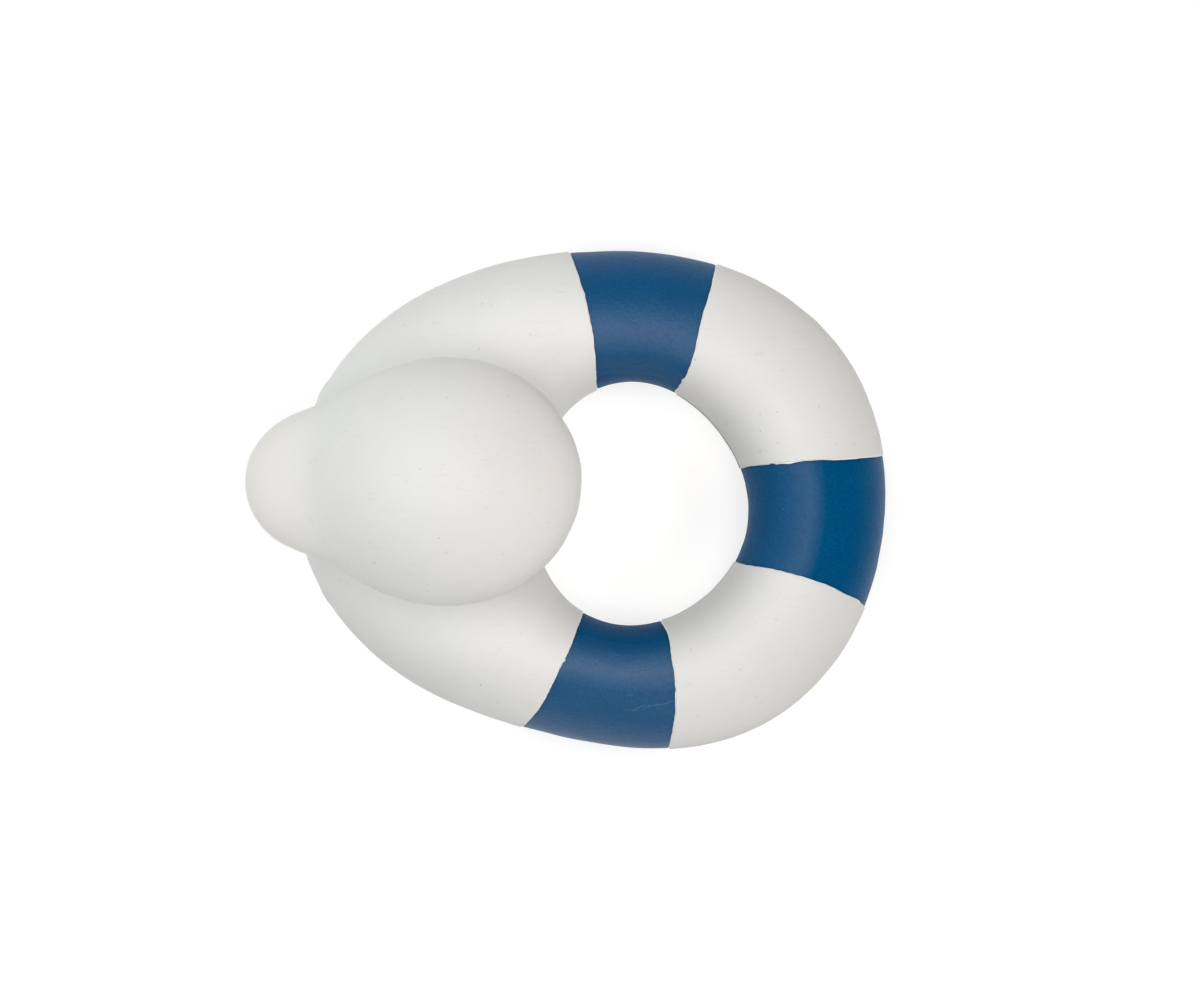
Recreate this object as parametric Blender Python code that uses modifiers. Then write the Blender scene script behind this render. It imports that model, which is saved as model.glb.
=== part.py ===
"""Hollow moulded rubber bath float: an egg-shaped ring lifebuoy that carries a
pear-shaped bird head over its fatter chest end.

Metres, +Z up, the bill points to -X, the ring rests on the plane z = 0.
Radii and heights below are in millimetres until they become coordinates.
"""
import math

import bpy

MM = 0.001

# Ring: outline radii from the middle of its hole, as cosine and sine sums of
# the angle from its rear end. The ring is turned a little under the head. Its
# crown leans to the hole by CROWN_SHIFT, but not at the chest: CROWN_FADE is
# the cosine of the angle where the lean starts and where it is whole.
HOLE_X = 12.36
HOLE_Y = -0.50
RING_TURN = math.radians(-5.5)
OUTER_COS = (46.82, -7.14, 4.08, -2.14, 0.11)
OUTER_SIN = (0.0, 0.27, -0.17, -0.14, 0.20)
HOLE_COS = (19.23, -1.13, -1.14, 0.64)
HOLE_SIN = (0.0, -0.50, -0.29, -0.07)
SEAM_Z = 11.5
LOWER_HALF_HEIGHT = 12.0
UPPER_HALF_HEIGHT = 11.7
CHEST_RISE = 3.5
CROWN_SHIFT = 2.0
CROWN_FADE = (-0.62, -0.22)
RING_WALL = 2.5
RING_STEPS = 64
TUBE_STEPS = 28

# Head: a ball and a broad flat bill, blended where they meet.
HEAD_X = -20.71
HEAD_Y = 2.95
HEAD_Z = 45.0
BALL_RADII = (22.25, 20.55, 20.3)
BILL_FORWARD = 22.2
BILL_UP = -1.2
BILL_RADII = (11.0, 11.0, 6.2)
BLEND = 2.6
HEAD_WALL = 2.2
HEAD_REACH = 50.0
HEAD_HALVINGS = 40
HEAD_CORE_FORWARD = 7.0
HEAD_SEGMENTS = 40
HEAD_RINGS = 24

# Neck: a short turned root under the head, and the passage through it.
NECK_X = -25.45
NECK_Y = 3.14
NECK_PROFILE = (
    (9.0, 34.5), (12.2, 34.5), (12.6, 32.5), (12.4, 30.0),
    (12.6, 27.5), (13.4, 25.0), (13.6, 19.0), (9.0, 19.0),
)
NECK_BORE_RADIUS = 10.0
NECK_BORE_LOW = 16.0
NECK_BORE_HIGH = 37.0
ROUND_STEPS = 40
SLAB_SIZE = 200.0

# Painted bands: start and end angle about the hole, on the ring's outer side
# and then on its hole side. They lie a little below the rubber's surface.
BANDS = {
    "paint_band_left": ((73.6, 106.4), (73.2, 112.0)),
    "paint_band_rear": ((-24.4, 11.2), (-32.6, 19.6)),
    "paint_band_right": ((-118.4, -84.6), (-119.0, -82.2)),
}
BAND_THICKNESS = 0.5
BAND_SINK = 0.25
BAND_START = math.radians(-56.0)
BAND_END = math.radians(236.0)
BAND_STEP = math.radians(5.5)
BAND_TUBE_CELLS = 26
RECESS_SKIN = 1.6
RECESS_SPREAD = math.radians(0.9)

# Vent plug in the underside of the chest.
PLUG_X = -27.25
PLUG_Y = 3.24
PLUG_HOLE_RADIUS = 4.0
PLUG_HOLE_LOW = -2.0
PLUG_HOLE_HIGH = 6.0
PLUG_PROFILE = (
    (0.8, 4.0), (4.6, 4.0), (5.2, 3.5), (5.2, 2.9), (3.7, 2.9),
    (3.7, 0.9), (3.4, 0.6), (1.3, 0.6), (0.8, 1.1),
)
PLUG_STEPS = 32

GAP = 0.3

RUBBER = (0.86, 0.86, 0.83, 1.0)
PAINT = (0.02, 0.09, 0.24, 1.0)
PLUG_RUBBER = (0.78, 0.78, 0.74, 1.0)


def series(cos_terms, sin_terms, angle):
    """Sum of cosine and sine terms of one angle."""
    total = 0.0
    for order, term in enumerate(cos_terms):
        total += term * math.cos(order * angle)
    for order, term in enumerate(sin_terms):
        total += term * math.sin(order * angle)
    return total


def ring_point(turn, tube, inflate=0.0):
    """Point on the ring: turn about the hole, tube about the tube's middle."""
    outer = series(OUTER_COS, OUTER_SIN, turn)
    hole = series(HOLE_COS, HOLE_SIN, turn)
    middle = 0.5 * (outer + hole)
    half_width = 0.5 * (outer - hole) + inflate
    chest = (0.5 - 0.5 * math.cos(turn)) ** 2
    if math.sin(tube) < 0.0:
        half_height = LOWER_HALF_HEIGHT + inflate
    else:
        half_height = UPPER_HALF_HEIGHT + CHEST_RISE * chest + inflate
    fade = (math.cos(turn) - CROWN_FADE[0]) / (CROWN_FADE[1] - CROWN_FADE[0])
    fade = min(max(fade, 0.0), 1.0)
    shift = CROWN_SHIFT * fade ** 2 * (3.0 - 2.0 * fade) * max(math.sin(tube), 0.0) ** 2
    radius = middle + half_width * math.cos(tube) - shift
    height = SEAM_Z + half_height * math.sin(tube)
    heading = turn + RING_TURN
    x = HOLE_X + radius * math.cos(heading)
    y = HOLE_Y + radius * math.sin(heading)
    z = max(height, -inflate)
    return (x * MM, y * MM, z * MM)


def ellipsoid(point, centre, radii):
    """Signed measure of how far a point is outside an ellipsoid."""
    total = 0.0
    for value, middle, radius in zip(point, centre, radii):
        total += ((value - middle) / radius) ** 2
    return (math.sqrt(total) - 1.0) * min(radii)


def head_measure(point):
    """Blend of the ball and the bill: zero on the head's surface."""
    ball = ellipsoid(point, (0.0, 0.0, 0.0), BALL_RADII)
    bill = ellipsoid(point, (-BILL_FORWARD, 0.0, BILL_UP), BILL_RADII)
    return -BLEND * math.log(math.exp(-ball / BLEND) + math.exp(-bill / BLEND))


def head_point(direction):
    """Point where a ray from the core of the head meets its surface."""
    near = 0.0
    far = HEAD_REACH
    for _ in range(HEAD_HALVINGS):
        reach = 0.5 * (near + far)
        point = [axis * reach for axis in direction]
        point[0] -= HEAD_CORE_FORWARD
        if head_measure(point) < 0.0:
            near = reach
        else:
            far = reach
    x = HEAD_X + point[0]
    y = HEAD_Y + point[1]
    z = HEAD_Z + point[2]
    return (x * MM, y * MM, z * MM)


def new_collection(name):
    group = bpy.data.collections.new(name)
    bpy.context.scene.collection.children.link(group)
    return group


def move_to(item, group):
    for old in list(item.users_collection):
        old.objects.unlink(item)
    group.objects.link(item)


def material(name, colour, roughness):
    surface = bpy.data.materials.new(name)
    surface.use_nodes = True
    shader = surface.node_tree.nodes["Principled BSDF"]
    shader.inputs["Base Color"].default_value = colour
    shader.inputs["Roughness"].default_value = roughness
    return surface


def active(name):
    item = bpy.context.active_object
    item.name = name
    item.data.name = name
    return item


def dress(item, surface, group):
    """Give a sub-part its material, its collection and smooth shading."""
    item.data.materials.clear()
    item.data.materials.append(surface)
    move_to(item, group)
    for face in item.data.polygons:
        face.use_smooth = True


def hide_cutter(item, group):
    item.hide_render = True
    item.display_type = "WIRE"
    move_to(item, group)


def thicken(item, wall):
    shell = item.modifiers.new("wall", "SOLIDIFY")
    shell.thickness = wall * MM
    shell.offset = -1.0
    shell.use_even_offset = True


def boolean(item, other, operation):
    cut = item.modifiers.new(operation.lower(), "BOOLEAN")
    cut.operation = operation
    cut.solver = "EXACT"
    cut.object = other


def torus_angles(vertex):
    turn = math.atan2(vertex.co.y, vertex.co.x)
    tube = math.atan2(vertex.co.z, math.hypot(vertex.co.x, vertex.co.y) - 1.0)
    return turn, tube


def ring_surface(name, inflate=0.0):
    """Torus primitive warped to the whole outside of the ring."""
    bpy.ops.mesh.primitive_torus_add(
        major_segments=RING_STEPS, minor_segments=TUBE_STEPS, major_radius=1.0, minor_radius=0.25)
    item = active(name)
    for vertex in item.data.vertices:
        turn, tube = torus_angles(vertex)
        vertex.co = ring_point(turn, tube, inflate)
    return item


def head_surface(name):
    """Sphere primitive, its pole towards the bill, warped to the head."""
    bpy.ops.mesh.primitive_uv_sphere_add(segments=HEAD_SEGMENTS, ring_count=HEAD_RINGS, radius=1.0)
    item = active(name)
    for vertex in item.data.vertices:
        vertex.co = head_point((-vertex.co.z, vertex.co.y, vertex.co.x))
    return item


def slab(name, seam, side):
    """Block that covers everything on one side of a seam, half a gap over it."""
    bpy.ops.mesh.primitive_cube_add(size=SLAB_SIZE * MM)
    item = active(name)
    item.location.z = (seam + side * 0.5 * (SLAB_SIZE - GAP)) * MM
    return item


def sleeve(name, outer_side, hole_side, inflate, spread):
    """Open strip of the ring's surface between two slanted edges."""
    low = BAND_START - spread
    high = BAND_END + spread
    cells = math.ceil(math.radians(outer_side[1] - outer_side[0]) / BAND_STEP)
    bpy.ops.mesh.primitive_grid_add(x_subdivisions=cells, y_subdivisions=BAND_TUBE_CELLS, size=1.0)
    item = active(name)
    for vertex in item.data.vertices:
        tube = low + (vertex.co.y + 0.5) * (high - low)
        share = min(max(tube / math.pi, 0.0), 1.0)
        first, last = (
            math.radians(outer + share * (hole - outer)) for outer, hole in zip(outer_side, hole_side))
        first -= RING_TURN + spread
        last += spread - RING_TURN
        turn = first + (vertex.co.x + 0.5) * (last - first)
        vertex.co = ring_point(turn, tube, inflate)
    return item


def turned(name, profile, steps, centre):
    """Closed profile of (radius, height) pairs turned about a vertical axis."""
    mesh = bpy.data.meshes.new(name)
    points = [(radius * MM, 0.0, height * MM) for radius, height in profile]
    count = len(points)
    edges = [(index, (index + 1) % count) for index in range(count)]
    mesh.from_pydata(points, edges, [])
    item = bpy.data.objects.new(name, mesh)
    bpy.context.scene.collection.objects.link(item)
    item.location = (centre[0] * MM, centre[1] * MM, 0.0)
    screw = item.modifiers.new("turn", "SCREW")
    screw.steps = steps
    screw.render_steps = steps
    screw.use_merge_vertices = True
    screw.merge_threshold = 0.00001
    screw.use_normal_calculate = True
    return item


def cylinder(name, centre, radius, low, high):
    bpy.ops.mesh.primitive_cylinder_add(vertices=ROUND_STEPS, radius=radius * MM, depth=(high - low) * MM)
    item = active(name)
    item.location = (centre[0] * MM, centre[1] * MM, 0.5 * (low + high) * MM)
    return item


def clear_scene():
    for item in list(bpy.data.objects):
        bpy.data.objects.remove(item)


def build():
    clear_scene()
    parts = new_collection("bird_ring_float")
    cutters = new_collection("cutters")
    rubber = material("natural_rubber", RUBBER, 0.65)
    paint = material("blue_paint", PAINT, 0.45)
    plug_rubber = material("plug_rubber", PLUG_RUBBER, 0.6)

    recesses = []
    for name, (outer_side, hole_side) in BANDS.items():
        band = sleeve(name, outer_side, hole_side, -BAND_SINK, 0.0)
        thicken(band, BAND_THICKNESS)
        dress(band, paint, parts)
        recess = sleeve(name + "_recess", outer_side, hole_side, RECESS_SKIN, RECESS_SPREAD)
        thicken(recess, RECESS_SKIN + BAND_SINK + BAND_THICKNESS + GAP)
        hide_cutter(recess, cutters)
        recesses.append(recess)

    neck_hole = cylinder(
        "neck_hole", (NECK_X, NECK_Y), NECK_BORE_RADIUS, NECK_BORE_LOW, NECK_BORE_HIGH)
    hide_cutter(neck_hole, cutters)
    plug_hole = cylinder(
        "plug_hole", (PLUG_X, PLUG_Y), PLUG_HOLE_RADIUS, PLUG_HOLE_LOW, PLUG_HOLE_HIGH)
    hide_cutter(plug_hole, cutters)

    for name, side, hole in (("ring_upper_shell", -1, neck_hole), ("ring_lower_shell", 1, plug_hole)):
        other_half = slab(name + "_trim", SEAM_Z, side)
        hide_cutter(other_half, cutters)
        shell = ring_surface(name)
        thicken(shell, RING_WALL)
        boolean(shell, other_half, "DIFFERENCE")
        for recess in recesses:
            boolean(shell, recess, "DIFFERENCE")
        boolean(shell, hole, "DIFFERENCE")
        dress(shell, rubber, parts)

    neck = turned("neck_root", NECK_PROFILE, ROUND_STEPS, (NECK_X, NECK_Y))
    hide_cutter(neck, cutters)
    clearance = ring_surface("ring_clearance", GAP)
    hide_cutter(clearance, cutters)
    boolean(neck, clearance, "DIFFERENCE")
    for name, side in (("head_upper_shell", -1), ("head_lower_shell", 1)):
        other_half = slab(name + "_trim", HEAD_Z, side)
        hide_cutter(other_half, cutters)
        shell = head_surface(name)
        thicken(shell, HEAD_WALL)
        boolean(shell, other_half, "DIFFERENCE")
        if side > 0:
            boolean(shell, neck, "UNION")
            boolean(shell, neck_hole, "DIFFERENCE")
        dress(shell, rubber, parts)

    plug = turned("vent_plug", PLUG_PROFILE, PLUG_STEPS, (PLUG_X, PLUG_Y))
    dress(plug, plug_rubber, parts)


build()
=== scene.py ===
"""Studio view of a moulded rubber bath float: an egg-shaped ring lifebuoy with
three painted bands and a bird head with a broad bill over its chest.

Skins of high resolution stand for the faceted shells and paint films of the
frame. The float's lengths are in millimetres until they become vertices, lamps
and floor are in metres, and angles are in degrees unless a docstring says
otherwise. The bill points to -X and left is +Y. A heading goes round the middle
of the hole from +X. The angle round the tube is 0 on the outer side, 90 on the
crown, 180 on the hole side and -90 at the bottom.
"""

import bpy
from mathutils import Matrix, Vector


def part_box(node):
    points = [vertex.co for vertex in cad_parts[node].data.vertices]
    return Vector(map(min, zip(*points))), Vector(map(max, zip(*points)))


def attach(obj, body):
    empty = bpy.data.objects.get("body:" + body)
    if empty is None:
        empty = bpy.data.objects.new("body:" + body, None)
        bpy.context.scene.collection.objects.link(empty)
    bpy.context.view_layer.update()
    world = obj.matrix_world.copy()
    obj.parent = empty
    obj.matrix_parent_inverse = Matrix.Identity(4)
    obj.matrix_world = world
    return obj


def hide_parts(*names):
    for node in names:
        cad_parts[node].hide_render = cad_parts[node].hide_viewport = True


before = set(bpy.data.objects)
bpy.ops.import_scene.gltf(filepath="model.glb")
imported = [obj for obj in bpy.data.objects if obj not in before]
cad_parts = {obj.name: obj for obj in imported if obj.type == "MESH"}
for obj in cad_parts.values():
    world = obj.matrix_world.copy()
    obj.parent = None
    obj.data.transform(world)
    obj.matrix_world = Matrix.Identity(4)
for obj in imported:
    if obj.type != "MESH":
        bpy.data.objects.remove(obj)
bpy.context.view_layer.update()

import math

import bpy
import numpy as np
from mathutils import Vector

MM = 0.001

# Skins of the moulded halves: name, shell they replace, side of the parting line.
RING_SKINS = (("ring_upper_skin", "ring_upper_shell", 1), ("ring_lower_skin", "ring_lower_shell", -1))
HEAD_SKINS = (("head_upper_skin", "head_upper_shell", 1), ("head_lower_skin", "head_lower_shell", -1))

# Nodes of the frame whose common box places the ring's and the head's skins.
RING_NODES = ("ring_upper_shell", "ring_lower_shell",
              "paint_band_left", "paint_band_rear", "paint_band_right")
HEAD_NODES = ("head_upper_shell", "head_lower_shell")

# Ring: outline about the middle of its hole, as in the frame's solids, and the
# columns and rows of its skins. A column stretch lies between two paint edges.
RING_TURN = -5.5
OUTER_COS = (46.82, -7.14, 4.08, -2.14, 0.11)
OUTER_SIN = (0.0, 0.27, -0.17, -0.14, 0.20)
HOLE_COS = (19.23, -1.13, -1.14, 0.64)
HOLE_SIN = (0.0, -0.50, -0.29, -0.07)
SEAM_Z = 11.5
LOWER_HALF_HEIGHT = 12.0
UPPER_HALF_HEIGHT = 11.7
CHEST_RISE = 3.5
CROWN_SHIFT = 2.0
CROWN_FADE = (-0.62, -0.22)
LAND_SOFTNESS = 0.35
RING_WALL = 2.3
OUTLINE_STEPS = 480
STRETCH_STEPS = (60, 80, 60, 160, 60, 80)
TUBE_ROWS = 80
PACKING = 0.9

# Head: ball, bill and neck, measured from the middle of the ball. Its surface is
# found along rays from the core, by halving.
BALL_RADII = (22.25, 20.55, 20.3)
BILL_FORWARD = 22.2
BILL_UP = -1.2
BILL_RADII = (11.0, 11.0, 6.2)
BLEND = 2.6
HEAD_CORE = np.array([-7.0, 0.0, 0.0])
HEAD_WALL = 2.0
HEAD_Z = 45.0
HEAD_BACK = 0.2
NECK_FORWARD = 4.75
NECK_RADIUS = 12.3
NECK_LOW = -23.0
NECK_HIGH = -12.0
NECK_FLARE = 0.035
NECK_FLARE_TOP = -16.5
NECK_BLEND = 1.3
HEAD_STEPS = 480
HEAD_ROWS = 110
REACH_LIMIT = 50.0
REACH_HALVINGS = 32

# Smooth noise: how many waves are added up, and how far their lengths spread.
WAVE_COUNT = 14
WAVE_SPREAD = (0.6, 1.6)

# Skin detail: the skins lie inside the solids by SKIN_INSET, give or take the
# wobble. The ridge is what the moulds leave at the parting line.
SKIN_INSET = 0.26
RING_LEAST_INSET = 0.05
SKIN_WOBBLE = 0.04
RING_WOBBLE_LENGTH = 16.0
RING_WOBBLE_SEED = 5
HEAD_WOBBLE_LENGTH = 14.0
HEAD_WOBBLE_SEED = 9
SEAM_GAP = 0.035
SEAM_RIDGE = 0.08
SEAM_RIDGE_WIDTH = 0.25
RIDGE_LENGTH = 5.0
RING_RIDGE_CHANGE = 0.3
RING_RIDGE_SEED = 3
HEAD_RIDGE_CHANGE = 0.8
HEAD_RIDGE_SEED = 7

# Burrs on the ring's outer parting line: heading, width in degrees, height.
SEAM_BURRS = ((160.4, 1.0, 0.35), (196.4, 1.1, 0.3))

# Rough flash on the head's parting line: heading seen from the head's core,
# width in degrees.
FLASH_HEADING = 213.0
FLASH_WIDTH = 16.0
FLASH_HEIGHT = 0.16
FLASH_LENGTH = 2.4
FLASH_SEED = 8

# The rubber is sunk under the paint and a margin beside it, over a slope of
# BAND_STEP. It stays sunk past the paint's ends for BAND_FADE degrees, and comes
# back over as many more.
BAND_SINK = 0.25
BAND_STEP = 0.09
BAND_MARGIN = 0.2
BAND_FADE = 12.0
# Painted light: the rubber in the sunk margin and a thin fringe beside each band is lighter, to lift the
# channel's shade.
EDGE_LIGHT_MARGIN = 0.32

# Dirt and painted shade on the ring: a painted shadow line in the hole's parting
# line round one heading, a faint dirt line in the rest of it, and painted shade
# that darkens the flanks at the rear and the chest. The lines' widths are in
# degrees round the tube.
HOLE_LINE_HEADING = 42.0
HOLE_LINE_SPREAD = 33.0
HOLE_LINE_GAIN = 1.6
HOLE_LINE_CUT = 0.3
HOLE_LINE_WIDTH = 7.0
SEAM_DIRT = 0.25
SEAM_DIRT_WIDTH = 5.0
SEAM_DIRT_LENGTH = 6.0
SEAM_DIRT_SEED = 41
# Painted shade: the rear flanks are darkened, most at the sides of the tube, none on the crown.
REAR_PAINTED_SHADE = 0.26
REAR_PAINTED_SHADE_SPREAD = 70.0
REAR_PAINTED_SHADE_GAIN = 1.5
# Painted shade: the chest's outer flank and crown are darkened round one heading.
CHEST_PAINTED_SHADE = 0.13
CHEST_PAINTED_SHADE_HEADING = 212.0
CHEST_PAINTED_SHADE_SPREAD = 28.0
CHEST_PAINTED_SHADE_REACH = 0.6

# Paint edges: (angle round the tube, heading), from the outer side over the
# crown to the hole side.
PAINT_EDGES = {
    "left": (
        ((-60, 73.7), (0, 73.4), (30, 73.2), (45, 72.9), (60, 72.9), (75, 73.0), (90, 72.4),
         (105, 71.7), (120, 72.1), (135, 72.6), (150, 73.9), (165, 74.6), (180, 74.2), (240, 73.7)),
        ((-60, 106.2), (0, 106.6), (30, 106.4), (60, 106.3), (75, 106.2), (90, 106.8), (105, 107.7),
         (120, 108.6), (135, 110.0), (150, 111.3), (165, 112.2), (180, 112.2), (240, 111.8)),
    ),
    "rear": (
        ((-60, -25.2), (0, -25.2), (20, -24.9), (30, -24.4), (60, -24.2), (75, -24.7), (90, -25.4),
         (105, -26.8), (120, -28.5), (135, -30.4), (150, -32.0), (165, -32.8), (240, -32.0)),
        ((-60, 10.6), (0, 11.1), (30, 11.3), (45, 11.7), (60, 12.3), (75, 13.4), (90, 14.7),
         (105, 15.9), (120, 17.0), (135, 18.3), (150, 19.7), (165, 19.4), (180, 19.3), (240, 19.0)),
    ),
    "right": (
        ((-60, -119.0), (0, -118.8), (20, -118.2), (45, -117.3), (60, -117.0), (90, -117.2),
         (105, -117.2), (120, -117.5), (135, -118.0), (150, -118.7), (165, -119.2), (240, -118.8)),
        ((-60, -84.8), (0, -84.5), (20, -84.2), (30, -83.7), (45, -82.7), (60, -81.7), (75, -80.8),
         (90, -80.3), (105, -80.3), (120, -80.0), (135, -80.0), (150, -81.2), (165, -82.1), (240, -82.4)),
    ),
}

# An edge is smoothed over this many degrees to either side, then wavers by hand.
EDGE_SMOOTHING = 7.0
EDGE_SAMPLES = 9
EDGE_WOBBLE = 0.07
EDGE_LENGTH = 7.0
EDGE_FINE_LENGTH = 1.6
EDGE_FINE_SHARE = 0.4
EDGE_MM_PER_DEGREE = 0.2
PAINT_SEEDS = {"left": 11, "rear": 23, "right": 37}

# The film of paint: its ends round the tube, how far it stands proud and reaches
# in, and how it thins towards its edges.
PAINT_LOW = -55.0
PAINT_HIGH = 235.0
PAINT_LIFT = 0.07
PAINT_DEPTH = 0.12
PAINT_ROUNDING = 0.35
PAINT_THINNEST = 0.02
RIM_FADE = 0.22
PAINT_ROWS = 360
PAINT_COLUMNS = 72
PAINT_PACKING = 0.8

# Nicks in the paint's edges: band, which edge, angle round the tube, width in
# degrees, and how far the edge moves in mm.
PAINT_NICKS = (
    ("right", 0, 97.0, 1.5, 0.22),
    ("right", 1, 78.0, 2.5, 0.12),
    ("rear", 1, 118.0, 2.5, 0.24),
    ("rear", 1, 101.0, 4.0, -0.12),
    ("rear", 0, 26.0, 4.0, 0.15),
    ("left", 0, 136.0, 3.0, 0.22),
    ("left", 1, 64.0, 3.0, -0.12),
)

# How glossy the paint is at each angle round the tube: dull inside the hole.
PAINT_GLOSS = {
    "left": ((30, 0.22), (55, 0.20), (80, 0.46), (95, 0.50), (112, 0.62), (130, 0.46), (138, 0.18),
             (150, 0.04)),
    "rear": ((20, 0.24), (42, 0.04), (52, 0.0), (75, 0.0), (88, 0.35), (104, 0.23), (118, 0.18),
             (135, 0.09), (155, 0.04)),
    "right": ((30, 0.47), (58, 0.58), (76, 0.34), (92, 0.58), (112, 0.72), (122, 0.18), (130, 0.02)),
}

# Hairline scratches in the right band: two ends in plan, bow and width.
SCRATCHES = (
    ((17.4, -33.9), (12.2, -34.9), 0.35, 0.11),
    ((12.4, -34.8), (9.9, -36.0), -0.15, 0.11),
    ((15.3, -34.6), (11.2, -35.8), -0.25, 0.08),
    ((8.4, -35.6), (11.4, -35.9), 0.1, 0.07),
    ((6.6, -26.4), (7.9, -26.5), 0.25, 0.07),
    ((8.9, -33.3), (10.3, -33.4), 0.35, 0.07),
)

# Materials: two tones of the mottling, and the layers over it in their order,
# each with the share that shows and its colour. Roughness: how much it changes
# over the surface, and its least.
RUBBER_TONES = ((0.800, 0.800, 0.782), (0.775, 0.778, 0.762))
PLUG_TONES = ((0.70, 0.70, 0.66), (0.64, 0.64, 0.60))
RUBBER_LAYERS = {
    "grain": (0.08, (0.62, 0.61, 0.58)),
    "scuffs": (0.16, (0.50, 0.48, 0.45)),
    "pores": (0.28, (0.30, 0.29, 0.27)),
    "dots": (0.42, (0.24, 0.23, 0.21)),
    "dust": (0.22, (0.42, 0.40, 0.38)),
    # Dirt along the seam, with painted shadow in the hole's parting line and painted shade on the rear
    # and chest flanks.
    "dirt_and_painted_shade": (0.62, (0.13, 0.12, 0.105)),
    "yellowed": (0.6, (0.815, 0.785, 0.745)),
    # Painted light: lighter bluish white in the sunk margin beside the paint.
    "painted_edge_light": (0.45, (0.92, 0.95, 0.97)),
}
SCUFF_STRETCH = (0.30, 1.5, 0.7)
RUBBER_GLOSS = 0.32
RUBBER_PORES = 0.45
PLUG_PORES = 0.7
RUBBER_ROUGHNESS = (0.14, 0.56)
PAINT_TONES = ((0.0002, 0.077, 0.212), (0.0012, 0.087, 0.226))
PAINT_LAYERS = {
    "tooth": (0.46, (0.0004, 0.042, 0.120)),
    "pores": (0.45, (0.0006, 0.020, 0.065)),
    "rim": (0.75, (0.004, 0.024, 0.065)),
    "dust": (0.45, (0.25, 0.30, 0.36)),
    "scratches": (0.30, (0.16, 0.28, 0.42)),
}
PAINT_ROUGHNESS = (0.14, 0.41)

# Spots: how far a seed of one moves them, and their least size and full middle as
# shares of their radius. Scratches: full middle as a share of width and of length.
SPOT_SHIFT = (17.3, 5.1, 9.7)
SPOT_LEAST_SIZE = 0.4
SPOT_CORE = 0.5
SCRATCH_CORE = 0.3
SCRATCH_REACH = 0.36

# The bill's rubber yellows between these distances forward, above this height.
YELLOW_FROM = 40.0
YELLOW_TO = 47.0
YELLOW_ABOVE = 36.0

FLOOR_TONES = ((0.42, 0.42, 0.42), (0.44, 0.44, 0.44))
FLOOR_ROUGHNESS = 0.85
FLOOR_GLOSS = 0.1
FLOOR_GLOW = 0.64
FLOOR_SIZE = 4.0

# Lamps, in metres and watts. Panels: name, heading, elevation, power, colour.
# The backdrop is almost dark, so that it doesn't flatten the shading.
PANEL_DISTANCE = 1.0
PANEL_SIZE = (0.6, 0.45)
PANEL_AIM = 0.02
PANELS = (
    ("panel_left_low", 180.0, 18.0, 0.9, (1.0, 0.78, 0.47)),
    ("panel_left", 180.0, 45.0, 1.5, (0.67, 0.97, 1.28)),
    ("panel_back_left", 135.0, 18.0, 2.25, (0.97, 1.0, 0.98)),
    ("panel_right", 0.0, 45.0, 2.8, (1.0, 0.96, 0.94)),
    ("panel_front_right", -60.0, 45.0, 1.6, (1.0, 1.0, 0.97)),
)
SOFTBOX_HEIGHT = 1.25
SOFTBOX_SIZE = (0.7, 0.7)
SOFTBOX_POWER = 9.5
SOFTBOX_COLOUR = (1.0, 0.95, 0.90)
WORLD_COLOUR = (0.97, 0.98, 1.0, 1.0)
WORLD_STRENGTH = 0.01

# Camera: its distance is from the ring's parting line, where the picture has
# this width.
CAMERA_X = 4.62
CAMERA_Y = -0.07
CAMERA_DISTANCE = 700.0
VIEW_WIDTH = 206.4
SENSOR = 36.0


def series(cos_terms, sin_terms, angle):
    """Sum of cosine and sine terms of an array of angles in radians."""
    total = np.zeros_like(angle)
    for order, term in enumerate(cos_terms):
        total += term * np.cos(order * angle)
    for order, term in enumerate(sin_terms):
        total += term * np.sin(order * angle)
    return total


def waves(points, wavelength, seed):
    """Smooth noise of about one unit: plane waves in seeded directions."""
    random = np.random.default_rng(seed)
    total = np.zeros(points.shape[:-1])
    for _ in range(WAVE_COUNT):
        direction = random.normal(size=3)
        direction /= np.linalg.norm(direction)
        pitch = wavelength * random.uniform(*WAVE_SPREAD)
        start = random.uniform(0.0, 2.0 * math.pi)
        total += np.sin(points @ direction * (2.0 * math.pi / pitch) + start)
    return total / math.sqrt(WAVE_COUNT)


def bell(distance, width):
    """Bell of one unit at zero distance."""
    return np.exp(-((distance / width) ** 2))


def bell_at(heading, middle, width):
    """Bell of one unit at a heading."""
    return bell((heading - middle + 180.0) % 360.0 - 180.0, width)


def packed(count, span, packing=PACKING):
    """Values from 0 to span, close together at both ends."""
    share = np.linspace(0.0, 1.0, count)
    return span * (share - packing * np.sin(2.0 * math.pi * share) / (2.0 * math.pi))


def angle_from_seam(tube):
    """Angle round the tube from the nearer parting line, in radians."""
    return np.arcsin(np.clip(np.abs(np.sin(tube)), 0.0, 1.0))


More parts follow.
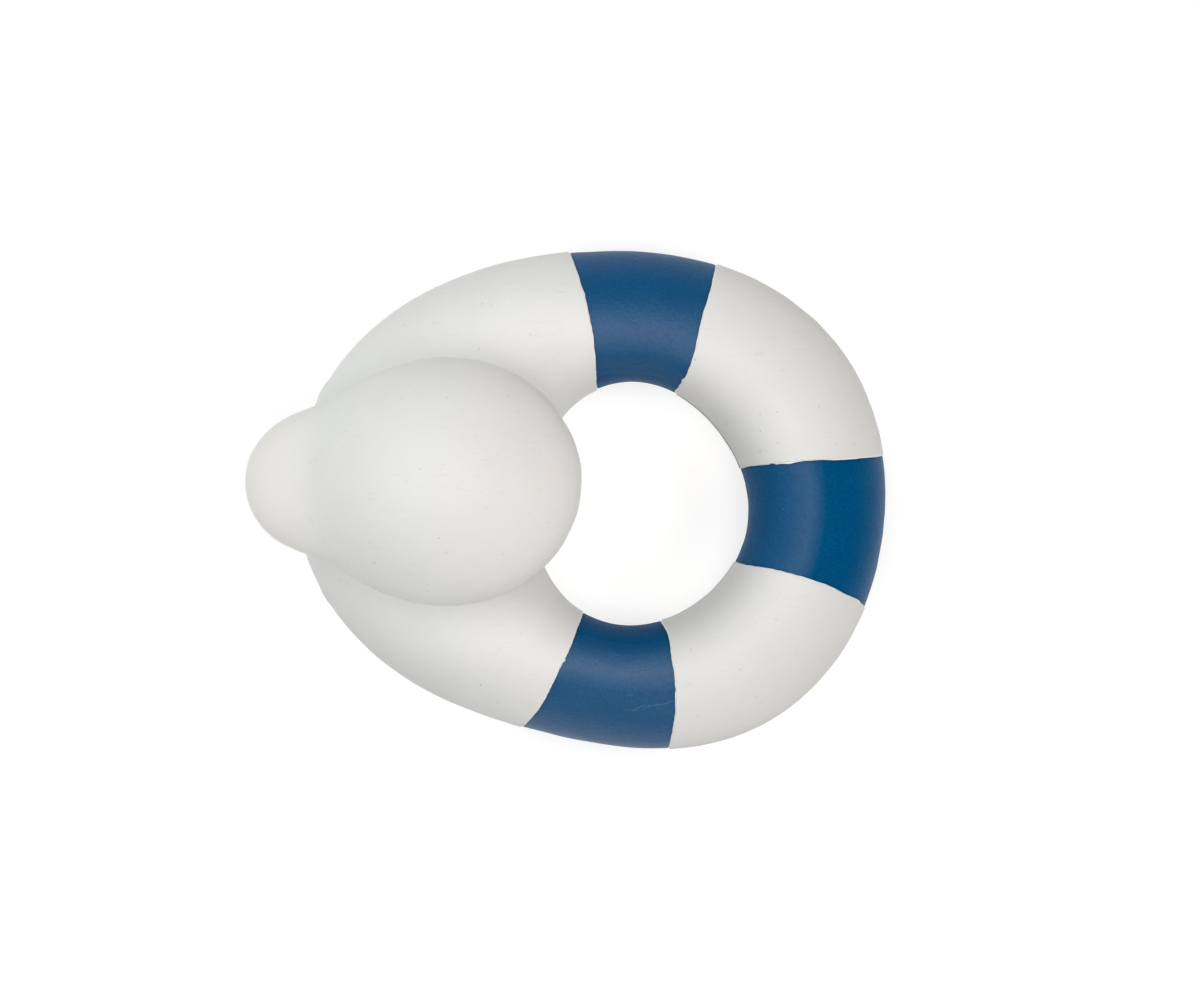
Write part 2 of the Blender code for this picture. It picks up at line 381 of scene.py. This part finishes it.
def ring_base(turn, tube, inflate):
    """Points on the ring about the middle of its hole; angles in radians."""
    outer = series(OUTER_COS, OUTER_SIN, turn)
    hole = series(HOLE_COS, HOLE_SIN, turn)
    chest = (0.5 - 0.5 * np.cos(turn)) ** 2
    up = np.sin(tube)
    upper_height = UPPER_HALF_HEIGHT + CHEST_RISE * chest
    half_height = np.where(up < 0.0, LOWER_HALF_HEIGHT, upper_height) + inflate
    half_width = 0.5 * (outer - hole) + inflate
    radius = 0.5 * (outer + hole) + half_width * np.cos(tube)
    fade = np.clip((np.cos(turn) - CROWN_FADE[0]) / (CROWN_FADE[1] - CROWN_FADE[0]), 0.0, 1.0)
    radius -= CROWN_SHIFT * fade ** 2 * (3.0 - 2.0 * fade) * np.maximum(up, 0.0) ** 2
    height = SEAM_Z + half_height * up + inflate
    height = 0.5 * (height + np.sqrt(height ** 2 + LAND_SOFTNESS ** 2)) - inflate
    heading = turn + math.radians(RING_TURN)
    return np.stack([radius * np.cos(heading), radius * np.sin(heading), height], axis=-1)


def edge_line(edge, around):
    """Heading of a smooth paint edge at each angle round the tube, -90 to 270."""
    below = 0.5 * (edge[0][1] + edge[-1][1])
    angles = [-90.0] + [point[0] for point in edge] + [270.0]
    headings = [below] + [point[1] for point in edge] + [below]
    spread = np.linspace(-EDGE_SMOOTHING, EDGE_SMOOTHING, EDGE_SAMPLES)
    return np.mean([np.interp(around + step, angles, headings) for step in spread], axis=0)


def round_degrees(tube):
    """An angle in radians as degrees round the tube, from -90 at the bottom up to 270."""
    return (np.degrees(tube) + 90.0) % 360.0 - 90.0


def band_share(heading, tube, radius, margin):
    """One inside a band widened by a margin, zero outside; tube in radians."""
    around = round_degrees(tube)
    inside = np.zeros_like(heading)
    for first, last in PAINT_EDGES.values():
        low = edge_line(first, around)
        high = edge_line(last, around)
        away = (heading - 0.5 * (low + high) + 180.0) % 360.0 - 180.0
        depth = np.radians(0.5 * (high - low) - np.abs(away)) * radius
        inside = np.maximum(inside, np.clip((depth + margin) / BAND_STEP, 0.0, 1.0))
    from_end = np.minimum(around - PAINT_LOW, PAINT_HIGH - around)
    return inside * np.clip(2.0 + from_end / BAND_FADE, 0.0, 1.0)


def stretch_turns(tube):
    """Turns of the ring's vertices at each tube angle, in radians: columns follow the paint edges."""
    around = round_degrees(tube)
    edges = [edge_line(edge, around) for band in ("rear", "left") for edge in PAINT_EDGES[band]]
    edges += [edge_line(edge, around) + 360.0 for edge in PAINT_EDGES["right"]]
    edges.append(edges[0] + 360.0)
    stretches = []
    for low, high, count in zip(edges, edges[1:], STRETCH_STEPS):
        share = packed(count + 1, 1.0)[:-1]
        stretches.append(low[:, None] + (high - low)[:, None] * share[None, :])
    return np.radians(np.concatenate(stretches, axis=1) - RING_TURN)


def ring_skin(turn, tube, lift=0.0):
    """Points on the ring's skin: sunk bands, wobble, ridge and burrs; angles in radians."""
    base = ring_base(turn, tube, np.zeros_like(turn))
    heading = np.degrees(turn) + RING_TURN
    sink = BAND_SINK * band_share(heading, tube, np.hypot(base[..., 0], base[..., 1]), BAND_MARGIN)
    on_seam = bell(LOWER_HALF_HEIGHT * angle_from_seam(tube), SEAM_RIDGE_WIDTH)
    ridge = SEAM_RIDGE * (1.0 + RING_RIDGE_CHANGE * waves(base, RIDGE_LENGTH, RING_RIDGE_SEED))
    burrs = sum(height * bell_at(heading, middle, width) for middle, width, height in SEAM_BURRS)
    ridge = np.maximum(ridge, 0.0) + np.where(np.cos(tube) > 0.0, burrs, 0.0)
    wobble = SKIN_WOBBLE * waves(base, RING_WOBBLE_LENGTH, RING_WOBBLE_SEED)
    inset = -SKIN_INSET + wobble + on_seam * ridge
    return ring_base(turn, tube, np.minimum(inset, -RING_LEAST_INSET) - sink + lift)


def head_measure(points, with_neck):
    """Blend of ball, bill and neck: below zero inside the head."""
    def ellipsoid(centre, radii):
        away = (points - np.array(centre)) / np.array(radii)
        return (np.linalg.norm(away, axis=-1) - 1.0) * min(radii)

    ball = ellipsoid((0.0, 0.0, 0.0), BALL_RADII)
    bill = ellipsoid((-BILL_FORWARD, 0.0, BILL_UP), BILL_RADII)
    head = -BLEND * np.logaddexp(-ball / BLEND, -bill / BLEND)
    if not with_neck:
        return head
    x, y, z = points[..., 0], points[..., 1], points[..., 2]
    flare = NECK_FLARE * np.maximum(NECK_FLARE_TOP - z, 0.0) ** 2
    side = np.hypot(x + NECK_FORWARD, y) - NECK_RADIUS - flare
    neck = np.maximum(np.maximum(side, z - NECK_HIGH), NECK_LOW - z)
    return -NECK_BLEND * np.logaddexp(-head / NECK_BLEND, -neck / NECK_BLEND)


def head_reach(direction, with_neck):
    """Distance from the head's core to its surface along each direction."""
    near = np.zeros(direction.shape[:-1])
    far = np.full(direction.shape[:-1], REACH_LIMIT)
    for _ in range(REACH_HALVINGS):
        reach = 0.5 * (near + far)
        inside = head_measure(HEAD_CORE + direction * reach[..., None], with_neck) < 0.0
        near = np.where(inside, reach, near)
        far = np.where(inside, far, reach)
    return reach


def head_skin(azimuth, elevation, side, wall=0.0):
    """Points on the head about the middle of the ball; angles in radians."""
    flat = np.cos(elevation)
    direction = np.stack([flat * np.cos(azimuth), flat * np.sin(azimuth), np.sin(elevation)], axis=-1)
    reach = head_reach(direction, side < 0)
    base = HEAD_CORE + direction * reach[..., None]
    on_seam = bell(reach * np.abs(elevation), SEAM_RIDGE_WIDTH)
    ridge = SEAM_RIDGE * (1.0 + HEAD_RIDGE_CHANGE * waves(base, RIDGE_LENGTH, HEAD_RIDGE_SEED))
    flash = FLASH_HEIGHT * bell_at(np.degrees(azimuth), FLASH_HEADING, FLASH_WIDTH)
    ridge = ridge + flash * (1.0 + waves(base, FLASH_LENGTH, FLASH_SEED))
    wobble = SKIN_WOBBLE * waves(base, HEAD_WOBBLE_LENGTH, HEAD_WOBBLE_SEED)
    inset = -SKIN_INSET + wobble + on_seam * np.maximum(ridge, 0.0)
    return HEAD_CORE + direction * (reach + np.minimum(inset, 0.0) - wall)[..., None]


def grid_faces(rows, columns, wrap, start=0, flip=False):
    """Quads of a grid of vertices; the columns close on themselves if wrapped."""
    last = columns if wrap else columns - 1
    row, column = np.meshgrid(np.arange(rows - 1), np.arange(last), indexing="ij")
    beside = (column + 1) % columns
    corners = [row * columns + column, row * columns + beside,
               (row + 1) * columns + beside, (row + 1) * columns + column]
    quads = np.stack(corners, axis=-1).reshape(-1, 4) + start
    return quads[:, ::-1] if flip else quads


def strip_faces(first, second):
    """Closed strip of quads between two lists of vertex numbers of the same length."""
    ahead_first, ahead_second = np.roll(first, -1), np.roll(second, -1)
    return np.stack([first, second, ahead_second, ahead_first], axis=-1)


def mesh_object(name, points, quads, caps=()):
    """Smooth-shaded object in the scene from points in millimetres."""
    mesh = bpy.data.meshes.new(name)
    faces = [tuple(int(corner) for corner in quad) for quad in quads]
    faces += [tuple(int(corner) for corner in cap) for cap in caps]
    mesh.from_pydata((points * MM).tolist(), [], faces)
    mesh.update()
    mesh.shade_smooth()
    item = bpy.data.objects.new(name, mesh)
    bpy.context.scene.collection.objects.link(item)
    return item


def middle_shift(points, nodes):
    """Shift in X and Y that puts the middle of points on the middle of nodes."""
    corners = [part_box(node) for node in nodes]
    low = np.min([list(pair[0]) for pair in corners], axis=0) / MM
    high = np.max([list(pair[1]) for pair in corners], axis=0) / MM
    flat = points.reshape(-1, 3)
    shift = 0.5 * (low + high) - 0.5 * (flat.min(axis=0) + flat.max(axis=0))
    shift[2] = 0.0
    return shift


def closed_shell(name, outer, inner, side, capped):
    """Closed shell from an outer and an inner grid whose first row is on the seam.

    The last rows meet at the other seam, or each closes with a cap at the pole.
    """
    rows, columns = outer.shape[:2]
    count = rows * columns
    points = np.concatenate([outer.reshape(-1, 3), inner.reshape(-1, 3)])
    seam = np.arange(columns)
    end = seam + (rows - 1) * columns
    up = side > 0
    rim = strip_faces(seam, seam + count)
    quads = [grid_faces(rows, columns, True, 0, not up), grid_faces(rows, columns, True, count, up),
             rim[:, ::-1] if up else rim]
    caps = []
    if capped:
        caps = [end if up else end[::-1], (end + count)[::-1] if up else end + count]
    else:
        rim = strip_faces(end, end + count)
        quads.append(rim if up else rim[:, ::-1])
    return mesh_object(name, points, np.concatenate(quads), caps)


def add_attribute(item, name, values):
    """One value for each vertex, which the materials read by its name."""
    layer = item.data.attributes.new(name, "FLOAT", "POINT")
    layer.data.foreach_set("value", values.astype(np.float32))


def ring_dirt_and_painted_shade(turn, tube, points):
    """Painted shadow in the hole's parting line, dirt along the rest of it, and painted shade on the
    flanks; angles in radians.
    """
    from_seam = np.degrees(angle_from_seam(tube))
    heading = np.degrees(turn) + RING_TURN
    # Painted shadow: a dark line on the hole side of the parting line, round one heading.
    line = HOLE_LINE_GAIN * bell_at(heading, HOLE_LINE_HEADING, HOLE_LINE_SPREAD) - HOLE_LINE_CUT
    line = np.where(np.cos(tube) < 0.0, np.clip(line, 0.0, 1.0), 0.0) * bell(from_seam, HOLE_LINE_WIDTH)
    worn = 0.5 + 0.5 * np.clip(waves(points, SEAM_DIRT_LENGTH, SEAM_DIRT_SEED), -1.0, 1.0)
    seam = SEAM_DIRT * worn * bell(from_seam, SEAM_DIRT_WIDTH)
    # Painted shade on the rear flanks.
    rear = np.clip(REAR_PAINTED_SHADE_GAIN * bell_at(heading, 0.0, REAR_PAINTED_SHADE_SPREAD), 0.0, 1.0)
    rear = REAR_PAINTED_SHADE * rear * np.abs(np.cos(tube))
    # Painted shade on the chest's outer side and crown.
    chest = CHEST_PAINTED_SHADE * bell_at(heading, CHEST_PAINTED_SHADE_HEADING, CHEST_PAINTED_SHADE_SPREAD)
    return line + seam + rear + chest * np.clip(CHEST_PAINTED_SHADE_REACH + np.cos(tube), 0.0, 1.0)


def make_ring():
    """Two moulded half-shells of the ring, and the shift that placed them."""
    turn = np.linspace(-math.pi, math.pi, OUTLINE_STEPS, endpoint=False)
    angle = np.radians(packed(TUBE_ROWS, 180.0))
    shift = middle_shift(ring_base(turn, np.zeros_like(turn), np.zeros_like(turn)), RING_NODES)
    made = []
    for name, node, side in RING_SKINS:
        around = stretch_turns(angle * side)
        tube = np.repeat(angle[:, None] * side, around.shape[1], axis=1)
        outer = ring_skin(around, tube)
        inner = ring_base(around, tube, np.full_like(around, -RING_WALL))
        for grid in (outer, inner):
            grid[[0, -1], :, 2] = SEAM_Z + side * SEAM_GAP
        skin = closed_shell(name, outer + shift, inner + shift, side, capped=False)
        radius = np.hypot(outer[..., 0], outer[..., 1])
        # Painted light: mask of the sunk margin and fringe beside each band.
        painted_edge_light = band_share(np.degrees(around) + RING_TURN, tube, radius, EDGE_LIGHT_MARGIN)
        # Both masks go to the vertices: dirt with painted shadow and shade, and painted light beside the
        # bands.
        for label, values in (("dirt_and_painted_shade", ring_dirt_and_painted_shade(around, tube, outer)), ("painted_edge_light", painted_edge_light)):
            add_attribute(skin, label, np.concatenate([values.reshape(-1), np.zeros(values.size)]))
        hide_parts(node)
        made.append(skin)
    return made, shift


def make_head():
    """Two moulded half-shells of the head; the lower one carries the neck."""
    azimuth = np.linspace(0.0, 2.0 * math.pi, HEAD_STEPS, endpoint=False)
    rows = np.radians(packed(2 * HEAD_ROWS - 1, 180.0)[:HEAD_ROWS - 1])
    made = []
    shift = None
    for name, node, side in HEAD_SKINS:
        lift, around = np.meshgrid(rows * side, azimuth, indexing="ij")
        outer = head_skin(around, lift, side)
        inner = head_skin(around, lift, side, HEAD_WALL)
        if shift is None:
            shift = middle_shift(outer, HEAD_NODES) + np.array([HEAD_BACK, 0.0, HEAD_Z])
        for grid in (outer, inner):
            grid[0, :, 2] = side * SEAM_GAP
        skin = closed_shell(name, outer + shift, inner + shift, side, capped=True)
        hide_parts(node)
        made.append(skin)
    return made


def edge_heading(side, place, around, seed):
    """Heading of a hand-painted edge at each angle round the tube."""
    smooth = edge_line(PAINT_EDGES[side][place], around)
    along = np.stack([around * EDGE_MM_PER_DEGREE, np.zeros_like(around), np.zeros_like(around)], axis=-1)
    fine = EDGE_FINE_SHARE * waves(along, EDGE_FINE_LENGTH, seed + 1)
    moved = EDGE_WOBBLE * (waves(along, EDGE_LENGTH, seed) + fine)
    for band, edge, angle, width, depth in PAINT_NICKS:
        if (band, edge) == (side, place):
            moved += depth * bell(around - angle, width)
    turn = np.radians(smooth - RING_TURN)
    radius = np.linalg.norm(ring_base(turn, np.radians(around), np.zeros_like(around))[:, :2], axis=-1)
    return smooth + np.degrees(moved / radius)


def distance_to_edge(top, share):
    """Distance of each place on a film from the film's nearest edge."""
    width = np.linalg.norm(top[:, -1] - top[:, 0], axis=-1)[:, None]
    length = np.linalg.norm(np.diff(top[:, PAINT_COLUMNS // 2], axis=0), axis=-1)
    along = np.concatenate([[0.0], np.cumsum(length)])[:, None]
    to_side = np.minimum(share[None, :], 1.0 - share[None, :]) * width
    return np.minimum(to_side, np.minimum(along, along[-1] - along))


def make_paint(side, shift, seed):
    """Film of paint with hand-made edges over both halves of the ring."""
    around = np.linspace(PAINT_LOW, PAINT_HIGH, PAINT_ROWS)
    first = edge_heading(side, 0, around, seed)
    last = edge_heading(side, 1, around, seed + 2)
    share = packed(PAINT_COLUMNS, 1.0, PAINT_PACKING)
    heading = first[:, None] + (last - first)[:, None] * share[None, :]
    turn = np.radians(heading - RING_TURN)
    tube = np.radians(np.repeat(around[:, None], PAINT_COLUMNS, axis=1))
    to_edge = distance_to_edge(ring_skin(turn, tube, PAINT_LIFT), share)
    film = PAINT_LIFT * np.sqrt(np.clip(to_edge / PAINT_ROUNDING, PAINT_THINNEST, 1.0))
    top = ring_skin(turn, tube, film)
    under = ring_skin(turn, tube, -PAINT_DEPTH)
    rows, columns = top.shape[:2]
    count = rows * columns
    points = np.concatenate([top.reshape(-1, 3), under.reshape(-1, 3)]) + shift
    border = np.concatenate([
        np.arange(columns), np.arange(1, rows) * columns + columns - 1,
        (rows - 1) * columns + np.arange(columns - 2, -1, -1), np.arange(rows - 2, 0, -1) * columns])
    quads = np.concatenate([
        grid_faces(rows, columns, False, 0, True), grid_faces(rows, columns, False, count, False),
        strip_faces(border, border + count)[:, ::-1]])
    item = mesh_object("paint_" + side + "_film", points, quads)
    rim = np.exp(-to_edge.reshape(-1) / RIM_FADE)
    add_attribute(item, "rim", np.concatenate([rim, np.ones(count)]))
    gloss = np.interp(around, *zip(*PAINT_GLOSS[side]))
    add_attribute(item, "gloss", np.tile(np.repeat(gloss, columns), 2))
    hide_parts("paint_band_" + side)
    return item


class Nodes:
    """Short way to build a material's node tree."""

    def __init__(self, name):
        self.material = bpy.data.materials.new(name)
        self.material.use_nodes = True
        self.tree = self.material.node_tree
        self.shader = self.tree.nodes["Principled BSDF"]
        place = self.add("ShaderNodeTexCoord")
        scale = self.add("ShaderNodeVectorMath", operation="SCALE")
        scale.inputs["Scale"].default_value = 1.0 / MM
        self.link(place.outputs["Object"], scale.inputs[0])
        self.place = scale.outputs[0]

    def add(self, kind, **settings):
        node = self.tree.nodes.new(kind)
        for key, value in settings.items():
            setattr(node, key, value)
        return node

    def link(self, source, target):
        self.tree.links.new(source, target)

    def put(self, target, value):
        """A number, a tuple or another node's output into one input."""
        if isinstance(value, bpy.types.NodeSocket):
            self.link(value, target)
        else:
            target.default_value = value

    def shade(self, inputs):
        """Numbers, tuples or outputs into the shader's inputs, by name."""
        for name, value in inputs.items():
            self.put(self.shader.inputs[name], value)

    def axes(self):
        """The X, Y and Z of the place, in millimetres."""
        split = self.add("ShaderNodeSeparateXYZ")
        self.link(self.place, split.inputs[0])
        return split.outputs

    def attribute(self, name):
        return self.add("ShaderNodeAttribute", attribute_name=name).outputs["Fac"]

    def math(self, operation, first, second=0.0, third=0.0):
        node = self.add("ShaderNodeMath", operation=operation)
        for socket, value in zip(node.inputs, (first, second, third)):
            self.put(socket, value)
        return node.outputs[0]

    def moved(self, operation, amount):
        """The place after a vector operation: ADD shifts it, MULTIPLY stretches it."""
        node = self.add("ShaderNodeVectorMath", operation=operation)
        self.link(self.place, node.inputs[0])
        node.inputs[1].default_value = amount
        return node.outputs[0]

    def noise(self, scale, detail=2.0, rough=0.5, place=None):
        node = self.add("ShaderNodeTexNoise")
        self.link(place or self.place, node.inputs["Vector"])
        node.inputs["Scale"].default_value = scale
        node.inputs["Detail"].default_value = detail
        node.inputs["Roughness"].default_value = rough
        return node.outputs["Fac"]

    def ramp(self, value, low, high):
        node = self.add("ShaderNodeMapRange", clamp=True)
        self.link(value, node.inputs["Value"])
        node.inputs["From Min"].default_value = low
        node.inputs["From Max"].default_value = high
        return node.outputs["Result"]

    def spots(self, scale, radius, share, seed):
        """Mask of sparse round spots: radius in cells, share of cells that have one."""
        cells = self.add("ShaderNodeTexVoronoi")
        self.link(self.moved("ADD", [seed * step for step in SPOT_SHIFT]), cells.inputs["Vector"])
        cells.inputs["Scale"].default_value = scale
        split = self.add("ShaderNodeSeparateColor")
        self.link(cells.outputs["Color"], split.inputs[0])
        chosen = self.math("LESS_THAN", split.outputs[0], share)
        size = self.math("MULTIPLY_ADD", split.outputs[1], radius, SPOT_LEAST_SIZE * radius)
        away = self.math("DIVIDE", cells.outputs["Distance"], size)
        near = self.math("SUBTRACT", 1.0, self.ramp(away, SPOT_CORE, 1.0))
        return self.math("MULTIPLY", near, chosen)

    def scratch(self, start, end, bend, width):
        """Mask of a hairline between two places in plan, bowed by bend at its middle."""
        x, y, _ = self.axes()
        length = math.dist(start, end)
        along_x, along_y = (end[0] - start[0]) / length, (end[1] - start[1]) / length
        from_x = self.math("SUBTRACT", x, start[0])
        from_y = self.math("SUBTRACT", y, start[1])
        along = self.math("MULTIPLY_ADD", from_y, along_y, self.math("MULTIPLY", from_x, along_x))
        across = self.math("MULTIPLY_ADD", from_y, along_x, self.math("MULTIPLY", from_x, -along_y))
        bow = self.math("SINE", self.math("MULTIPLY", along, math.pi / length))
        away = self.math("ABSOLUTE", self.math("MULTIPLY_ADD", bow, -bend, across))
        line = self.math("SUBTRACT", 1.0, self.ramp(away, SCRATCH_CORE * width, width))
        middle = self.math("ABSOLUTE", self.math("SUBTRACT", along, 0.5 * length))
        ends = self.math("SUBTRACT", 1.0, self.ramp(middle, SCRATCH_REACH * length, 0.5 * length))
        return self.math("MULTIPLY", line, ends)

    def mix(self, factor, first, second):
        node = self.add("ShaderNodeMix", data_type="RGBA")
        self.put(node.inputs["Factor"], factor)
        for socket, value in zip((node.inputs[6], node.inputs[7]), (first, second)):
            self.put(socket, value if isinstance(value, bpy.types.NodeSocket) else (*value, 1.0))
        return node.outputs[2]

    def layered(self, tones, layers, masks, cloud_scale):
        """Colour that drifts between two tones, with each layer over it where its mask is."""
        clouds = self.ramp(self.noise(cloud_scale, detail=3.0, rough=0.55), low=0.3, high=0.7)
        colour = self.mix(clouds, *tones)
        for name, (share, tone) in layers.items():
            colour = self.mix(self.math("MULTIPLY", masks[name], share), colour, tone)
        return colour

    def bump(self, height, distance, strength=1.0, normal=None):
        node = self.add("ShaderNodeBump")
        self.link(height, node.inputs["Height"])
        node.inputs["Distance"].default_value = distance * MM
        node.inputs["Strength"].default_value = strength
        if normal is not None:
            self.link(normal, node.inputs["Normal"])
        return node.outputs[0]


def rubber_material(name, tones, pore_share):
    """Matt moulded natural rubber: mottling, fine grain, pores, dust and dents."""
    nodes = Nodes(name)
    grain = nodes.noise(scale=2.6, detail=3.0, rough=0.6)
    stretched = nodes.moved("MULTIPLY", SCUFF_STRETCH)
    streaks = nodes.noise(scale=0.9, detail=3.0, rough=0.6, place=stretched)
    pores = nodes.spots(scale=0.6, radius=0.09, share=pore_share, seed=1)
    dots = nodes.spots(scale=0.38, radius=0.062, share=0.32, seed=2)
    x, _, z = nodes.axes()
    forward = nodes.ramp(nodes.math("MULTIPLY", x, -1.0), low=YELLOW_FROM, high=YELLOW_TO)
    masks = {
        "grain": nodes.ramp(grain, low=0.25, high=0.75),
        "scuffs": nodes.ramp(streaks, low=0.60, high=0.76),
        "pores": pores,
        "dots": dots,
        "dust": nodes.spots(scale=0.9, radius=0.09, share=0.06, seed=3),
        # Dirt, painted shadow and painted shade, read from the ring's vertices.
        "dirt_and_painted_shade": nodes.attribute("dirt_and_painted_shade"),
        "yellowed": nodes.math("MULTIPLY", forward, nodes.math("GREATER_THAN", z, YELLOW_ABOVE)),
        # Painted light beside the paint's edges, read from the ring's vertices.
        "painted_edge_light": nodes.attribute("painted_edge_light"),
    }
    lumps = nodes.bump(nodes.noise(scale=0.22), distance=0.10, strength=0.6)
    fine = nodes.bump(grain, distance=0.028, strength=0.7, normal=lumps)
    holes = nodes.math("MULTIPLY", nodes.math("MAXIMUM", pores, dots), -1.0)
    nodes.shade({
        "Base Color": nodes.layered(tones, RUBBER_LAYERS, masks, cloud_scale=0.11),
        "Roughness": nodes.math("MULTIPLY_ADD", nodes.noise(scale=0.5), *RUBBER_ROUGHNESS),
        "Specular IOR Level": RUBBER_GLOSS,
        "Normal": nodes.bump(holes, distance=0.07, strength=0.8, normal=fine),
    })
    return nodes.material


def paint_material():
    """Semi-matt blue paint, brushed on: cloudy tone, fine tooth, darker rim, scratches."""
    nodes = Nodes("blue_paint")
    tooth = nodes.noise(scale=2.1, detail=3.0, rough=0.7)
    pores = nodes.spots(scale=1.1, radius=0.16, share=0.3, seed=6)
    scratches = 0.0
    for start, end, bend, width in SCRATCHES:
        scratches = nodes.math("MAXIMUM", nodes.scratch(start, end, bend, width), scratches)
    above_seam = nodes.math("GREATER_THAN", nodes.axes()[2], SEAM_Z)
    masks = {
        "tooth": nodes.ramp(tooth, low=0.42, high=0.66),
        "pores": pores,
        "rim": nodes.attribute("rim"),
        "dust": nodes.spots(scale=0.5, radius=0.05, share=0.12, seed=5),
        "scratches": nodes.math("MULTIPLY", scratches, above_seam),
    }
    lumps = nodes.bump(nodes.noise(scale=0.3), distance=0.08, strength=0.5)
    fine = nodes.bump(tooth, distance=0.15, strength=1.0, normal=lumps)
    holes = nodes.math("MULTIPLY", pores, -1.0)
    nodes.shade({
        "Base Color": nodes.layered(PAINT_TONES, PAINT_LAYERS, masks, cloud_scale=0.16),
        "Roughness": nodes.math("MULTIPLY_ADD", nodes.noise(scale=0.7, detail=3.0), *PAINT_ROUGHNESS),
        "Specular IOR Level": nodes.attribute("gloss"),
        "Normal": nodes.bump(holes, distance=0.06, strength=0.8, normal=fine),
    })
    return nodes.material


def floor_material():
    """Lit white table: pale, even, a little bright of itself."""
    nodes = Nodes("floor_white")
    nodes.shade({
        "Base Color": nodes.mix(nodes.noise(scale=0.02), *FLOOR_TONES),
        "Roughness": FLOOR_ROUGHNESS,
        "Specular IOR Level": FLOOR_GLOSS,
        "Emission Color": (1.0, 1.0, 1.0, 1.0),
        "Emission Strength": FLOOR_GLOW,
    })
    return nodes.material


def make_floor():
    half = 0.5 * FLOOR_SIZE
    corners = [(-half, -half, 0), (half, -half, 0), (half, half, 0), (-half, half, 0)]
    mesh = bpy.data.meshes.new("floor")
    mesh.from_pydata(corners, [], [(0, 1, 2, 3)])
    item = bpy.data.objects.new("floor", mesh)
    bpy.context.scene.collection.objects.link(item)
    mesh.materials.append(floor_material())


def area_light(name, place, target, size, power, colour):
    """Rectangular lamp at a place, turned towards a target."""
    lamp = bpy.data.lights.new(name, "AREA")
    lamp.shape = "RECTANGLE"
    lamp.size, lamp.size_y = size
    lamp.energy = power
    lamp.color = colour
    item = bpy.data.objects.new(name, lamp)
    bpy.context.scene.collection.objects.link(item)
    item.location = place
    item.rotation_mode = "QUATERNION"
    item.rotation_quaternion = Vector(np.subtract(target, place)).to_track_quat("-Z", "Y")


def make_lights():
    """Panels round the float, a softbox overhead and a faint backdrop."""
    for name, heading, elevation, power, colour in PANELS:
        flat = PANEL_DISTANCE * math.cos(math.radians(elevation))
        height = PANEL_DISTANCE * math.sin(math.radians(elevation)) + PANEL_AIM
        place = (flat * math.cos(math.radians(heading)), flat * math.sin(math.radians(heading)), height)
        area_light(name, place, (0.0, 0.0, PANEL_AIM), PANEL_SIZE, power, colour)
    above = (0.0, 0.0, SOFTBOX_HEIGHT)
    area_light("softbox", above, (0.0, 0.0, 0.0), SOFTBOX_SIZE, SOFTBOX_POWER, SOFTBOX_COLOUR)
    world = bpy.data.worlds.new("studio")
    world.use_nodes = True
    backdrop = world.node_tree.nodes["Background"]
    backdrop.inputs["Color"].default_value = WORLD_COLOUR
    backdrop.inputs["Strength"].default_value = WORLD_STRENGTH
    bpy.context.scene.world = world


def make_camera():
    """Camera straight above, its picture as wide as VIEW_WIDTH at the ring's parting line."""
    lens = bpy.data.cameras.new("camera")
    lens.sensor_width = SENSOR
    lens.lens = SENSOR * CAMERA_DISTANCE / VIEW_WIDTH
    item = bpy.data.objects.new("camera", lens)
    item.location = (CAMERA_X * MM, CAMERA_Y * MM, (SEAM_Z + CAMERA_DISTANCE) * MM)
    bpy.context.scene.collection.objects.link(item)
    bpy.context.scene.camera = item


def set_material(item, material):
    item.data.materials.clear()
    item.data.materials.append(material)


def build():
    """The whole scene, piece by piece."""
    make_camera()
    make_lights()
    make_floor()
    rubber = rubber_material("natural_rubber", RUBBER_TONES, RUBBER_PORES)
    plug_rubber = rubber_material("plug_rubber", PLUG_TONES, PLUG_PORES)
    paint = paint_material()
    ring, shift = make_ring()
    for item in ring + make_head():
        set_material(item, rubber)
        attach(item, "root")
    for side, seed in PAINT_SEEDS.items():
        film = make_paint(side, shift, seed)
        set_material(film, paint)
        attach(film, "root")
    set_material(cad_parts["vent_plug"], plug_rubber)


build()
bpy.context.scene.view_settings.view_transform = "Standard"
